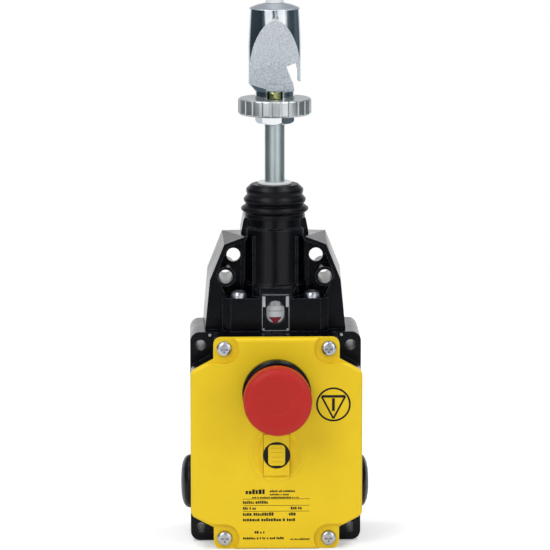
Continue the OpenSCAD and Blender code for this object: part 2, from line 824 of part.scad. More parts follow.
module spindle() {
  color("silver") on_spindle() rotate_extrude() polygon([
    [0, z_spindle_end], [cam_rod_r - 0.5, z_spindle_end], [cam_rod_r, z_spindle_end + 0.5],
    [cam_rod_r, z_cam_top], [shank_r, z_cam_top],
    [shank_r, z_spring_plate - 3.2], [shank_r - 0.4, z_spring_plate - 3.2],
    [shank_r - 0.4, z_spring_plate - 2], [shank_r, z_spring_plate - 2],
    [shank_r, z_bush_top + joint_gap], [shank_r - 0.4, z_bush_top + joint_gap],
    [shank_r - 0.4, z_bush_top + joint_gap + ring_t], [shank_r, z_bush_top + joint_gap + ring_t],
    [shank_r, z_lock_nut], [thread_r, z_lock_nut],
    [thread_r, z_spindle_top - 0.8], [thread_r - 0.8, z_spindle_top], [0, z_spindle_top]
  ]);
}

module indicator_sleeve() {
  color([0.93, 0.93, 0.92]) on_spindle() difference() {
    rod_z(sleeve_r, z_sleeve, z_spring_plate);
    rod_z(sleeve_r - sleeve_wall, z_sleeve - 1, z_spring_plate + 1);
  }
}

module switch_cam() {
  half_low = cam_half_top + cam_slope * (cam_h - 5);
  color([0.85, 0.85, 0.8]) on_spindle() difference() {
    slab(-cam_half_depth, cam_half_depth) polygon(both_sides([
      [half_low - 0.8, z_cam], [half_low, z_cam + 0.8], [half_low, z_cam + 1],
      [cam_half_top, z_cam_top - 5 + 1], [cam_half_top, z_cam_top]
    ]));
    rod_z(cam_rod_r, z_cam - 1, z_cam_top + 1);
  }
}

module cam_nut() {
  color("silver") on_spindle() difference() {
    translate([0, 0, z_cam - cam_nut_t]) cylinder(r = 13 / sqrt(3), h = cam_nut_t, $fn = 6);
    rod_z(cam_rod_r, z_cam - cam_nut_t - 1, z_cam + 1);
  }
}

module bellows() {
  outer = [
    [15.9, 0], [15.9, 1.6], [15.6, 2.4],
    [bellows_folds[0][1], 4.2], [bellows_folds[0][1], 5.3], [15.2, 7.2],
    [bellows_folds[1][1], 9], [bellows_folds[1][1], 10.2], [14.6, 12.2],
    [bellows_folds[2][1], 14], [bellows_folds[2][1], 15.3], [12.4, bellows_h]
  ];
  inner = [
    [shank_r + running_gap, bellows_h], [shank_r + running_gap, bellows_h - 1.6],
    [11.4, bellows_h - 1.6], [13.5, 14.9], [13.5, 14.4], [13.2, 12.2],
    [14.9, 10], [14.9, 9.3], [13.7, 7.2], [16.3, 5.1], [16.3, 4.5],
    [neck_r_tower, 3], [neck_r_tower, 0]
  ];
  color([0.06, 0.06, 0.06]) on_spindle() translate([0, 0, z_bellows])
    rotate_extrude() polygon(concat(outer, inner));
}

module bellows_washer() {
  color([0.85, 0.85, 0.85]) on_spindle() difference() {
    rod_z(8.9, z_bellows + bellows_h + joint_gap, z_bellows + bellows_h + 1.2);
    rod_z(shank_r, z_tower + 10, z_tower + 30);
  }
}

// A hexagon nut across its flats, with chamfered corners
module hex_nut(af, t, r, turn) {
  difference() {
    intersection() {
      rotate([0, 0, turn]) cylinder(r = af / sqrt(3), h = t, $fn = 6);
      rotate_extrude() polygon([
        [0, 0], [af / 2 * 1.02, 0], [af / sqrt(3) + 0.1, 1.1], [af / sqrt(3) + 0.1, t - 1.1],
        [af / 2 * 1.02, t], [0, t]
      ]);
    }
    translate([0, 0, -1]) cylinder(r = r, h = t + 2);
  }
}

module lock_nut() {
  color("silver") translate([0, axis_y, z_lock_nut]) hex_nut(lock_nut_af, lock_nut_t, thread_r, 49);
}

module tension_wheel() {
  r = wheel_d / 2;
  color("silver") translate([0, axis_y, z_wheel]) difference() {
    rotate_extrude() polygon([
      [thread_d / 2, 0], [r - 1, 0], [r, 1], [r, wheel_t - 0.6],
      [r - 0.6, wheel_t], [thread_d / 2, wheel_t]
    ]);
    for (i = [0 : wheel_flutes - 1]) rotate([0, 0, 360 * (i + 0.5) / wheel_flutes])
      translate([r + 0.8, 0, -1]) cylinder(r = 1.25, h = wheel_t + 2);
  }
}

// Rope clamp

module neck_nut() {
  color([0.72, 0.74, 0.45]) translate([0, axis_y, z_neck_nut])
    hex_nut(neck_nut_af, neck_nut_t, thread_d / 2 + 0.3, 25);
}

module rope_clamp() {
  color([0.78, 0.8, 0.83]) on_spindle() difference() {
    rotate_extrude() polygon([
      [0, z_neck_nut], [clamp_neck_r, z_neck_nut], [clamp_neck_r, z_clamp + 0.4], [clamp_r, z_clamp + 4.2],
      [clamp_r, z_clamp + 24], [clamp_top_r, z_clamp + clamp_h - 3],
      [clamp_top_r - 0.6, z_clamp + clamp_h - 2.4], [clamp_top_r - 4.2, z_clamp + clamp_h - 1],
      [guide_r, z_clamp + clamp_h], [0, z_clamp + clamp_h]
    ]);
    // sloping face above an upright flat at the front
    rotate([90, 0, 90]) translate([0, 0, -clamp_r - 1]) linear_extrude(2 * clamp_r + 2) polygon([
      [-clamp_face_y, z_clamp + 0.4], [-clamp_face_y, z_clamp + 15.6],
      [-clamp_r + 0.35, z_clamp + 39.2], [-clamp_r - 6, z_clamp + 50], [-clamp_r - 6, z_clamp + 0.4]
    ]);
    // seat of the neck nut, open at the front
    rod_z(neck_seat_r, z_neck_nut - 1, z_clamp);
    box([-4.2, 4], [-clamp_neck_r - 1, -clamp_face_y], [z_neck_nut - 1, z_clamp + 1]);
    // hook slot from front to back, open at its foot
    slab(-clamp_r - 1, clamp_r + 1) polygon([
      [6.3, z_hook], [6.3, z_hook + 1.4], [10.8, z_hook + 3.3], [11.5, z_hook],
      [11.6, z_hook - 5.5], [12.6, z_hook - 6.4], [clamp_r + 2, z_hook - 6.4],
      [clamp_r + 2, z_clamp - 1], [clamp_neck_r, z_clamp - 1], [9.7, z_clamp + 4.3], [7.9, z_clamp + 8.8]
    ]);
    rod_z(rope_hole_d / 2, z_hook + 1, z_clamp + clamp_h + 1);
    // passage from the rope hole to the hook slot
    box([0, 8], [-rope_hole_d / 2, rope_hole_d / 2], [z_hook - 2, z_hook + 3]);
    rod_z(thread_r + 0.35, z_clamp - 1, z_spindle_top + 0.6);
  }
}

module rope_guide() {
  color([0.88, 0.86, 0.84]) on_spindle() difference() {
    rotate_extrude() polygon([
      [0, z_clamp + clamp_h], [guide_r, z_clamp + clamp_h], [guide_r, z_clamp + clamp_h + 9],
      [guide_r - 0.8, z_clamp + clamp_h + 9.8], [0, z_clamp + clamp_h + 9.8]
    ]);
    rod_z(rope_hole_d / 2, z_clamp, z_clamp + clamp_h + 20);
  }
}

// Emergency stop

module at_button() {
  translate([0, 0, z_button]) children();
}

module estop_cap() {
  r = button_d / 2;
  color([0.75, 0.13, 0.12]) at_button() translate([0, y_button_back, 0]) rotate([90, 0, 0]) difference() {
    rotate_extrude() polygon([
      [0, 0], [r - 1.5, 0], [r - 0.3, 1], [r, 2.5], [r, button_t - 3.2], [r - 0.7, button_t - 1.6],
      [r - 2.4, button_t - 0.5], [r - 5, button_t], [6.8, button_t - 0.45],
      [6.4, button_t - 0.7], [0, button_t - 0.75]
    ]);
    translate([0, 0, -1]) cylinder(r = stem_r, h = 7);
    // pocket for the return spring
    difference() {
      translate([0, 0, -1]) cylinder(r = shroud_r + 0.4, h = button_t - 4 + 1);
      translate([0, 0, -2]) cylinder(r = estop_spring_r - 1.6, h = button_t + 2);
    }
  }
}

module estop_collar() {
  color([0.07, 0.07, 0.07]) at_button() difference() {
    union() {
      translate([0, y_face, 0]) rotate([90, 0, 0]) rotate_extrude() polygon([
        [0, 0], [collar_r, 0], [collar_r, collar_t - 1.4], [collar_r - 1.4, collar_t], [0, collar_t]
      ]);
      rod_y(neck_r, y_face - 1, y_neck_end);
      // sleeve round the spring that slides inside the button
      rod_y(shroud_r, y_button_back - 2, y_face - 1);
    }
    rod_y(stem_r + running_gap, y_button_back - 3, y_neck_end + 1);
    rod_y(shroud_r - 1.5, y_button_back - 3, y_face - collar_t + 0.2);
    difference() {
      rod_y(shroud_r - 1.5, y_face - collar_t - 1, y_face - 2);
      rod_y(estop_spring_r - 1.6, y_face - collar_t - 2, y_face - 1);
    }
  }
}

module estop_nut() {
  color([0.2, 0.2, 0.22]) at_button() difference() {
    rod_y(15, y_face + cover_wall, y_face + cover_wall + estop_nut_t);
    rod_y(neck_r, y_face, y_face + 12);
    for (a = [0 : 60 : 300]) rotate([0, a, 0])
      box([13.4, 16], [y_face, y_face + 12], [-1.8, 1.8]);
  }
}

module estop_stem() {
  groove = [y_plate - 8.6, y_plate - 4.8];
  color([0.85, 0.85, 0.82]) at_button() difference() {
    union() {
      rod_y(stem_r, y_button_back - 6, y_stem_end - 1.5);
      rod_y(5, y_stem_end - 2, y_stem_end + yoke_t + joint_gap);
    }
    // groove that the latch bar drops into when the button is in
    difference() {
      rod_y(stem_r + 1, groove[0], groove[1]);
      rod_y(stem_r - 2, groove[0] - 1, groove[1] + 1);
    }
    // groove for the retaining ring
    difference() {
      rod_y(stem_r + 1, y_plate_back + joint_gap, y_plate_back + joint_gap + clip_t);
      rod_y(stem_r - 0.8, y_plate_back, y_plate_back + 3);
    }
  }
}

module estop_clip() {
  color([0.3, 0.3, 0.32]) at_button() difference() {
    rod_y(stem_r + 1.6, y_plate_back + joint_gap, y_plate_back + joint_gap + clip_t);
    rod_y(stem_r - 0.8, y_plate_back, y_plate_back + 3);
  }
}

module estop_spring() {
  color("silver") at_button() rotate([90, 0, 0])
    coil(estop_spring_r, 0.55, -y_face + 2, -y_button_back + button_t - 4, 5, 6, 16);
}

module estop_yoke() {
  color([0.62, 0.63, 0.65]) difference() {
    slab(y_yoke, y_yoke + yoke_t - joint_gap) polygon(both_sides([
      [yoke_half_w, z_rods - 4], [yoke_half_w, z_rods + 5],
      [9, z_button - 4], [9, z_button + 7]
    ]));
    at_button() rod_y(5, y_yoke - 1, y_yoke + 10);
    slab(y_yoke - 1, y_yoke + 10) polygon([[-8, 0], [8, 0], [8, z_rods + 4], [-8, z_rods + 4]]);
  }
}

module estop_rods() {
  color([0.85, 0.85, 0.8]) both() translate([rod_x_place, 0, z_rods])
    rod_y(rod_r, y_yoke + yoke_t - joint_gap, rod_end_y);
}

module estop_bridges() {
  color([0.8, 0.6, 0.3]) both() difference() {
    box([rod_x_place - 7, rod_x_place + 7], [lower_bridge_y, lower_bridge_y + bridge_t], [z_rods - 3.6, z_rods + 3.6]);
    translate([rod_x_place, 0, z_rods]) rod_y(rod_r, lower_bridge_y - 1, lower_bridge_y + 2);
  }
}

// Reset train

module at_knob() {
  translate([0, 0, z_knob]) children();
}

module reset_knob() {
  back = y_face + knob_recess - 0.3;
  color([0.9, 0.76, 0.17]) at_knob() difference() {
    union() {
      // dished disc
      translate([0, back, 0]) rotate([90, 0, 0]) rotate_extrude() polygon([
        [0, 0], [knob_r, 0], [knob_r, knob_recess - 0.3], [knob_r - 1, knob_recess - 0.3],
        [knob_r - 3.2, knob_recess - knob_dish * 0.7], [knob_r - 6, knob_recess - knob_dish - 0.2],
        [0, knob_recess - knob_dish - 0.3]
      ]);
      // grip bar
      intersection() {
        rod_y(knob_r - 0.8, y_face - 0.6, back);
        slab(y_face - 0.6, back - 1) translate([-knob_bar_w / 2, -10.9]) square([knob_bar_w, 21.8]);
      }
    }
    // seat of the black ring
    difference() {
      rod_y(ring_outer_r, y_face - 2, y_face + 0.6);
      slab(y_face - 3, y_face + 2) thumb_pad(0);
    }
    rod_y(shaft_r - 1, y_face + 1.6, back + 1);
    // groove of the seal
    difference() {
      rod_y(reset_seal_r, y_face + knob_recess - 1.5, back + 1);
      rod_y(reset_seal_r - 1.6, y_face, back + 2);
    }
  }
}

module thumb_pad(g) {
  rounded_panel(pad_w + 2 * g, pad_h + 2 * g, 2.2 + g);
}

module reset_ring() {
  color([0.1, 0.1, 0.1]) at_knob() difference() {
    rod_y(ring_outer_r, y_face - 0.75, y_face + 0.6);
    slab(y_face - 3, y_face + 2) thumb_pad(0);
  }
}

module reset_shaft() {
  back = y_face + knob_recess - 0.3;
  pin = [crank_x, crank_x];
  color("silver") at_knob() {
    rod_y(shaft_r - 1, y_face + 1.6, back);
    rod_y(shaft_r, back, y_face + knob_recess + knob_floor + 0.2);
    rod_y(crank_disc_r, y_face + knob_recess + knob_floor + 0.2, y_crank);
    translate([pin[0], 0, pin[1]]) rod_y(crank_pin_r, y_crank - 0.5, y_plate + 1);
  }
}

module reset_seal() {
  color([0.12, 0.12, 0.12]) at_knob() difference() {
    rod_y(reset_seal_r, y_face + knob_recess - 1.5, y_face + knob_recess - 0.1);
    rod_y(reset_seal_r - 1.6, y_face, y_face + 12);
  }
}

module latch_plate() {
  color([0.62, 0.63, 0.65]) difference() {
    union() {
      box([-latch_plate_half_w, latch_plate_half_w], [y_plate, y_plate_back], latch_plate_z);
      box([-7, 7], [y_plate - 6.4, y_plate_back], [latch_shelf_z - plate_t, latch_shelf_z]);
    }
    at_button() rod_y(stem_r + 0.4, y_plate - 1, y_plate_back + 1);
    at_knob() rod_y(crank_disc_r + 0.4, y_plate - 1, y_plate_back + 1);
    for (p = latch_plate_pillars)
      translate([p.x, 0, p.y]) rod_y(1.6, y_plate - 1, y_plate_back + 1);
  }
}

module latch_plate_screws() {
  color("silver") for (p = latch_plate_pillars)
    translate([p.x, y_plate_back, p.y]) rotate([-90, 0, 0]) pan_screw(2.75, 2, 1.25, 7);
}

module latch_bar() {
  top = z_button - stem_r - 0.3;
  color("silver") difference() {
    union() {
      slab(y_latch, y_latch + latch_t) polygon(both_sides([
        [latch_half_w, latch_foot_z], [latch_half_w, top - 3], [2.5, top]
      ]));
      box([-latch_half_w, latch_half_w], [y_plate - 5.6, y_latch + latch_t], [latch_foot_z - 1.5, latch_foot_z]);
    }
    slab(y_latch - 1, y_plate) slot_for_pin();
  }
}

module slot_for_pin() {
  h = 2 * (crank_pin_r + crank_slack);
  translate([crank_x - crank_pin_r - 0.3, z_knob + crank_x - h / 2])
    square([crank_throw - crank_x + 2 * crank_pin_r + 0.7, h]);
}

module latch_spring() {
  color("silver") translate([0, y_plate - 3.1, 0])
    coil(2, 0.3, latch_shelf_z, latch_foot_z - 1.5, 5, 6, 12);
}

// Contact blocks

module contact_block() {
  color([0.16, 0.16, 0.18]) difference() {
    box(contact_x, contact_y, contact_z);
    // upper chamber with the sideways plunger
    box(chamber_x, [chamber_front_y, 0], upper_chamber_z);
    translate([0, axis_y, z_plunger]) {
      rod_x(plunger_r + running_gap, contact_x[0] - 1, plunger_end + 3);
    }
    // lower chamber with the push rod
    box([12, 28], [chamber_front_y, 0], lower_chamber_z);
    translate([rod_x_place, 0, z_rods]) rod_y(rod_r + running_gap, contact_y[0] - 1, chamber_front_y + 1);
    for (z = upper_leads) box([bridge_x - 2, bridge_x - 1], [contact_y[0] - 1, chamber_front_y + 1], z);
    for (x = lower_leads) box(x, [contact_y[0] - 1, chamber_front_y + 1], lower_lead_z);
    for (p = terminals) translate([p.x, 0, p.y]) rod_y(1.6, contact_y[0] - 1, contact_y[0] + 5);
    translate([block_screw_x, 0, block_screw_z]) rod_y(block_screw_r + 0.2, contact_y[0] - 1, 0);
  }
}

module contact_block_right() {
  contact_block();
}

module contact_block_left() {
  mirror([1, 0, 0]) contact_block();
}

module contact_plunger() {
  tip_x = cam_half_top + cam_slope * plunger_tip_r + 0.12 + plunger_offset;
  color([0.85, 0.82, 0.7]) translate([0, axis_y, z_plunger]) {
    translate([tip_x, 0, 0]) rotate([0, 90, 0]) cylinder(r1 = plunger_tip_r, r2 = plunger_r, h = 3);
    rod_x(plunger_r, tip_x + 3, plunger_end - spindle_travel * cam_slope);
  }
}

module contact_plunger_right() {
  contact_plunger();
}

module contact_plunger_left() {
  mirror([1, 0, 0]) contact_plunger();
}

module contact_bridge() {
  color([0.8, 0.6, 0.3]) difference() {
    box([bridge_x, bridge_x + bridge_t], [axis_y - 2.4, axis_y + 4], [upper_chamber_z[0] + 0.4, upper_chamber_z[1] - 0.4]);
    translate([0, axis_y, z_plunger]) rod_x(plunger_r, bridge_x - 1, bridge_x + 3);
  }
}

module contact_bridge_right() {
  contact_bridge();
}

module contact_bridge_left() {
  mirror([1, 0, 0]) contact_bridge();
}

module plunger_spring() {
  color("silver") translate([0, axis_y, z_plunger]) rotate([0, 90, 0])
    coil(1.9, 0.3, plunger_end - spindle_travel * cam_slope, plunger_end + 3, 3, 6, 12);
}

module plunger_spring_right() {
  plunger_spring();
}

module plunger_spring_left() {
  mirror([1, 0, 0]) plunger_spring();
}

module fixed_contacts() {
  y_out = contact_y[0] - terminal_t;
  color([0.8, 0.6, 0.3]) both() {
    for (i = [0, 1]) difference() {
      union() {
        box([bridge_x - 2, bridge_x - 1], [y_out, axis_y + 2], upper_leads[i]);
        box([bridge_x - 2, terminals[i].x + 3], [y_out, contact_y[0]], terminal_band(i));
      }
      translate([terminals[i].x, 0, terminals[i].y]) rod_y(1.7, y_out - 1, contact_y[0] + 1);
    }
    for (i = [0, 1]) difference() {
      union() {
        box(lower_leads[i], [y_out, lower_bridge_y - 0.1], lower_lead_z);
        box(lower_band(i), [y_out, contact_y[0]], lower_band_z(i));
        if (i == 0) box([13.6, 18.6], [y_out, contact_y[0]], [2.2, 7.2]);
      }
      translate([terminals[i + 2].x, 0, terminals[i + 2].y]) rod_y(1.7, y_out - 1, contact_y[0] + 1);
    }
  }
}

function terminal_band(i) = [upper_leads[i][0] - 0.6, upper_leads[i][1] + 0.6];
function lower_band(i) = i == 0 ? [13.6, 17] : [24.8, 33];
function lower_band_z(i) = i == 0 ? [2.2, z_rods + 2.4] : [z_rods - 2.6, z_rods + 2.6];

module terminal_screws() {
  color("silver") both() for (p = terminals)
    translate([p.x, contact_y[0] - terminal_t, p.y]) rotate([90, 0, 0]) pan_screw(2.4, 1.7, 1.5, 4.4);
}

module block_screws() {
  color("silver") both() translate([block_screw_x, contact_y[0], block_screw_z]) rotate([90, 0, 0])
    pan_screw(2.4, 2, block_screw_tap_r, -contact_y[0] - 1.9);
}

module earth_screw() {
  color([0.75, 0.65, 0.3]) translate([earth_x, -housing_wall, earth_z]) rotate([90, 0, 0]) {
    difference() {
      cylinder(r = 4.5, h = 1);
      translate([0, 0, -1]) cylinder(r = block_screw_tap_r, h = 3);
    }
    translate([0, 0, 1]) pan_screw(3.5, 2.6, block_screw_tap_r, 2.6);
  }
}

main_housing();
head_casting();
head_gasket();
front_cover();
cover_gasket();
cover_screws();
head_screws();
locating_pins();
cable_plug_left();
cable_plug_right();
plug_seals();
window_lens();
estop_collar();
estop_nut();
estop_cap();
estop_stem();
estop_spring();
estop_clip();
estop_yoke();
estop_rods();
estop_bridges();
reset_knob();
reset_ring();
reset_shaft();
reset_seal();
latch_plate();
latch_plate_screws();
latch_bar();
latch_spring();
guide_bush();
main_spring();
bellows();
bellows_washer();
spindle();
spring_plate();
retaining_rings();
indicator_sleeve();
switch_cam();
cam_nut();
lock_nut();
tension_wheel();
neck_nut();
rope_clamp();
rope_guide();
contact_block_left();
contact_block_right();
contact_plunger_left();
contact_plunger_right();
contact_bridge_left();
contact_bridge_right();
plunger_spring_left();
plunger_spring_right();
fixed_contacts();
terminal_screws();
block_screws();
earth_screw();
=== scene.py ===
import math
import random

import bpy
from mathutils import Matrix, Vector


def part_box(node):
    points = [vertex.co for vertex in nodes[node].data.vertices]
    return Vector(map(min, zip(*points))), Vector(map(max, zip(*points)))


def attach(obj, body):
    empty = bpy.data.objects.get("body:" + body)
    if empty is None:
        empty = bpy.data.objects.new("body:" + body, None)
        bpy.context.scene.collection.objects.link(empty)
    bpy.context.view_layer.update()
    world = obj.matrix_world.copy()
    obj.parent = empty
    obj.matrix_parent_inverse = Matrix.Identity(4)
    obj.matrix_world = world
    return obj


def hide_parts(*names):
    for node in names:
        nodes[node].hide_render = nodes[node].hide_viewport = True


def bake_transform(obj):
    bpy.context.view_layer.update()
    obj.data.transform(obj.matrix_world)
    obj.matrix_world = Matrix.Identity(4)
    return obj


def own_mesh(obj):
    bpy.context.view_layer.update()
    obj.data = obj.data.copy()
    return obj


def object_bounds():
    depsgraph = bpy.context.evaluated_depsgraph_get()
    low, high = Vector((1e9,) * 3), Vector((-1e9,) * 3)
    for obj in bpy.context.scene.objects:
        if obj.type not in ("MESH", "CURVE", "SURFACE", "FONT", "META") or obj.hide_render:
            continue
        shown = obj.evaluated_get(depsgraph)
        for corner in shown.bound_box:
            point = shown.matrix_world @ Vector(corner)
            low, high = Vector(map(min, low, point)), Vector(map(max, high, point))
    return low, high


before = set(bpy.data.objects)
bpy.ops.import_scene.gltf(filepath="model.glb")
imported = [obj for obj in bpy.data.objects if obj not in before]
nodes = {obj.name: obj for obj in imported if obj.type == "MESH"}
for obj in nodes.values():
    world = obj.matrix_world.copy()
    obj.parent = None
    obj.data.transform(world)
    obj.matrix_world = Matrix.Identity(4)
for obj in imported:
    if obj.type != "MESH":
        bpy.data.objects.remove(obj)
cad_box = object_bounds()

# Studio
# A pale floor under a plain white surround, with soft lamps in front and above. Plated parts mirror a
# surround of their own: tall bright bands left and right of the camera, and dark gaps at the sides.


def deselect():
    if bpy.context.mode != "OBJECT":
        bpy.ops.object.mode_set(mode="OBJECT")
    bpy.ops.object.select_all(action="DESELECT")


def pick(obj):
    deselect()
    obj.select_set(True)
    bpy.context.view_layer.objects.active = obj


def new_material(name):
    material = bpy.data.materials.new(name)
    material.use_nodes = True
    tree = material.node_tree
    return material, tree, tree.nodes["Principled BSDF"]


def dress(obj, material):
    obj.data.materials.clear()
    obj.data.materials.append(material)


def seen_directly(tree, light_path):
    """A value that is 1 where the camera looks straight at a place or sees it through the lens."""
    seen = tree.nodes.new("ShaderNodeMath")
    seen.operation = "MAXIMUM"
    tree.links.new(light_path.outputs["Is Camera Ray"], seen.inputs[0])
    tree.links.new(light_path.outputs["Is Transmission Ray"], seen.inputs[1])
    return seen.outputs[0]


def remap(tree, value, low, high, to_low=0.0, to_high=1.0):
    """A value stretched from one range to another, and held at the ends."""
    stretch = tree.nodes.new("ShaderNodeMapRange")
    stretch.inputs["From Min"].default_value = low
    stretch.inputs["From Max"].default_value = high
    stretch.inputs["To Min"].default_value = to_low
    stretch.inputs["To Max"].default_value = to_high
    tree.links.new(value, stretch.inputs["Value"])
    return stretch.outputs[0]


deselect()
floor_radius, floor_gap, floor_lift = 0.62, 0.0002, 0.32
floor_z = cad_box[0][2] - floor_gap
bpy.ops.mesh.primitive_circle_add(
    vertices=96, radius=floor_radius, fill_type="NGON", location=(0, 0.02, floor_z),
)
floor = bpy.context.object
floor.name = "studio_floor"
floor_paint, tree, shader = new_material("floor_paint")
shader.inputs["Base Color"].default_value = (0.9, 0.9, 0.9, 1)
shader.inputs["Roughness"].default_value = 0.9
shader.inputs["Specular IOR Level"].default_value = 0.1
seen = seen_directly(tree, tree.nodes.new("ShaderNodeLightPath"))
glow = tree.nodes.new("ShaderNodeEmission")
glow.inputs["Strength"].default_value = floor_lift
no_glow = tree.nodes.new("ShaderNodeEmission")
no_glow.inputs["Strength"].default_value = 0
glow_mix = tree.nodes.new("ShaderNodeMixShader")
tree.links.new(seen, glow_mix.inputs[0])
tree.links.new(no_glow.outputs[0], glow_mix.inputs[1])
tree.links.new(glow.outputs[0], glow_mix.inputs[2])
lifted = tree.nodes.new("ShaderNodeAddShader")
tree.links.new(shader.outputs[0], lifted.inputs[0])
tree.links.new(glow_mix.outputs[0], lifted.inputs[1])
tree.links.new(lifted.outputs[0], tree.nodes["Material Output"].inputs["Surface"])
dress(floor, floor_paint)

world = bpy.data.worlds.new("surround")
world.use_nodes = True
bpy.context.scene.world = world
tree = world.node_tree
tree.nodes.clear()
out = tree.nodes.new("ShaderNodeOutputWorld")
light_path = tree.nodes.new("ShaderNodeLightPath")
seen = seen_directly(tree, light_path)
coordinate = tree.nodes.new("ShaderNodeTexCoord")
split = tree.nodes.new("ShaderNodeSeparateXYZ")
tree.links.new(coordinate.outputs["Generated"], split.inputs[0])
flip = tree.nodes.new("ShaderNodeMath")
flip.operation = "MULTIPLY"
flip.inputs[1].default_value = -1
tree.links.new(split.outputs["Y"], flip.inputs[0])
bearing = tree.nodes.new("ShaderNodeMath")
bearing.operation = "ARCTAN2"
tree.links.new(split.outputs["X"], bearing.inputs[0])
tree.links.new(flip.outputs[0], bearing.inputs[1])
turn = remap(tree, bearing.outputs[0], -math.pi, math.pi)
bands = tree.nodes.new("ShaderNodeValToRGB")
bands.color_ramp.elements[0].position = 0
bands.color_ramp.elements[0].color = (1, 1, 1, 1)
bands.color_ramp.elements[1].position = 1
bands.color_ramp.elements[1].color = (1, 1, 1, 1)
for degrees, level in [
    (-150, 0.95), (-141, 0.6), (-131, 0.05), (-62, 0.035), (-50, 0.12), (-43, 1.0), (-13, 1.0), (-9, 0.12),
    (8, 0.12), (13, 1.0), (47, 1.0), (54, 0.2), (66, 0.06), (88, 0.045), (108, 0.12), (128, 0.06), (138, 0.7),
    (148, 0.95),
]:
    stop = bands.color_ramp.elements.new((degrees + 180) / 360)
    cool = (1 - level) * 0.3
    stop.color = (level * (1 - cool), level, level * (1 + cool * 0.7), 1)
tree.links.new(turn, bands.inputs[0])
upward = remap(tree, split.outputs["Z"], 0.2, 0.4)
ceiling = tree.nodes.new("ShaderNodeMix")
ceiling.data_type = "RGBA"
ceiling.inputs["B"].default_value = (0.22, 0.23, 0.25, 1)
tree.links.new(upward, ceiling.inputs["Factor"])
tree.links.new(bands.outputs[0], ceiling.inputs["A"])
soft = tree.nodes.new("ShaderNodeBackground")
soft.inputs["Color"].default_value = (0.98, 0.99, 1, 1)
soft.inputs["Strength"].default_value = 0.52
shown = tree.nodes.new("ShaderNodeBackground")
shown.inputs["Color"].default_value = (1, 1, 1, 1)
shown.inputs["Strength"].default_value = 1
mirrored = tree.nodes.new("ShaderNodeBackground")
mirrored.inputs["Strength"].default_value = 1.3
tree.links.new(ceiling.outputs["Result"], mirrored.inputs["Color"])
gloss_or_soft = tree.nodes.new("ShaderNodeMixShader")
tree.links.new(light_path.outputs["Is Glossy Ray"], gloss_or_soft.inputs[0])
tree.links.new(soft.outputs[0], gloss_or_soft.inputs[1])
tree.links.new(mirrored.outputs[0], gloss_or_soft.inputs[2])
white_or_light = tree.nodes.new("ShaderNodeMixShader")
tree.links.new(seen, white_or_light.inputs[0])
tree.links.new(gloss_or_soft.outputs[0], white_or_light.inputs[1])
tree.links.new(shown.outputs[0], white_or_light.inputs[2])
tree.links.new(white_or_light.outputs[0], out.inputs["Surface"])


def lamp(name, place, aim, size, watts):
    light = bpy.data.lights.new(name, "AREA")
    light.shape = "RECTANGLE"
    light.size, light.size_y = size
    light.energy = watts
    obj = bpy.data.objects.new(name, light)
    bpy.context.scene.collection.objects.link(obj)
    obj.location = place
    obj.rotation_euler = (Vector(aim) - Vector(place)).to_track_quat("-Z", "Y").to_euler()


lit_point = (0, 0, 0.08)
front_lamp_size, top_lamp_size = (0.9, 1.2), (0.62, 0.5)
lamp("key_lamp", (-0.9, -1.5, 1.35), lit_point, front_lamp_size, 15)
lamp("fill_lamp", (1.3, -1.4, 0.9), lit_point, front_lamp_size, 7)
lamp("left_top_lamp", (-0.5, -0.05, 1.6), lit_point, top_lamp_size, 6)
lamp("right_top_lamp", (0.54, -0.05, 1.6), lit_point, top_lamp_size, 6)

aim = Vector((0, -0.030, 0.09075))
azimuth, elevation, distance = math.radians(-1.5), math.radians(9.5), 1.9
camera_data = bpy.data.cameras.new("camera")
camera_data.lens = 235.3
camera_data.sensor_width = 36
camera_data.clip_end = 50
camera = bpy.data.objects.new("camera", camera_data)
bpy.context.scene.collection.objects.link(camera)
camera.location = aim + distance * Vector((
    math.sin(azimuth) * math.cos(elevation),
    -math.cos(azimuth) * math.cos(elevation),
    math.sin(elevation),
))
low_aim = aim - Vector((0, 0, 0.0064))
camera.rotation_euler = (low_aim - camera.location).to_track_quat("-Z", "Y").to_euler()
bpy.context.scene.camera = camera
bpy.context.scene.view_settings.view_transform = "Standard"

# Main housing
# The housing is an aluminium die casting with a satin black powder coat. Its edges are broken, and the four
# fixing holes are cast through the corners.


def shade_evenly(piece):
    """Smooth shading up to a set angle, weighted so that flat faces stay flat beside rounded edges."""
    pick(piece)
    bpy.ops.object.shade_smooth_by_angle(angle=math.radians(32))
    even = piece.modifiers.new("even_shading", "WEIGHTED_NORMAL")
    even.keep_sharp = True
    bpy.ops.object.modifier_apply(modifier=even.name)


def refined(node, name, edge, angle=28, segments=2):
    """A copy of a node's mesh, merged into whole faces, with its sharp edges rounded by the edge width."""
    piece = bpy.data.objects.new(name, nodes[node].data.copy())
    bpy.context.scene.collection.objects.link(piece)
    pick(piece)
    bpy.ops.object.mode_set(mode="EDIT")
    bpy.ops.mesh.select_all(action="SELECT")
    bpy.ops.mesh.remove_doubles(threshold=0.00001)
    bpy.ops.mesh.dissolve_limited(angle_limit=math.radians(0.6))
    bpy.ops.object.mode_set(mode="OBJECT")
    if edge:
        bevel = piece.modifiers.new("broken_edges", "BEVEL")
        bevel.width = edge
        bevel.segments = segments
        bevel.limit_method = "ANGLE"
        bevel.angle_limit = math.radians(angle)
        bevel.miter_outer = "MITER_ARC"
        bevel.use_clamp_overlap = True
        bpy.ops.object.modifier_apply(modifier=bevel.name)
    shade_evenly(piece)
    return piece


def noise(tree, place, scale, detail):
    """A soft noise value in the piece's own coordinates."""
    texture = tree.nodes.new("ShaderNodeTexNoise")
    texture.inputs["Scale"].default_value = scale
    texture.inputs["Detail"].default_value = detail
    tree.links.new(place.outputs["Object"], texture.inputs["Vector"])
    return texture.outputs["Fac"]


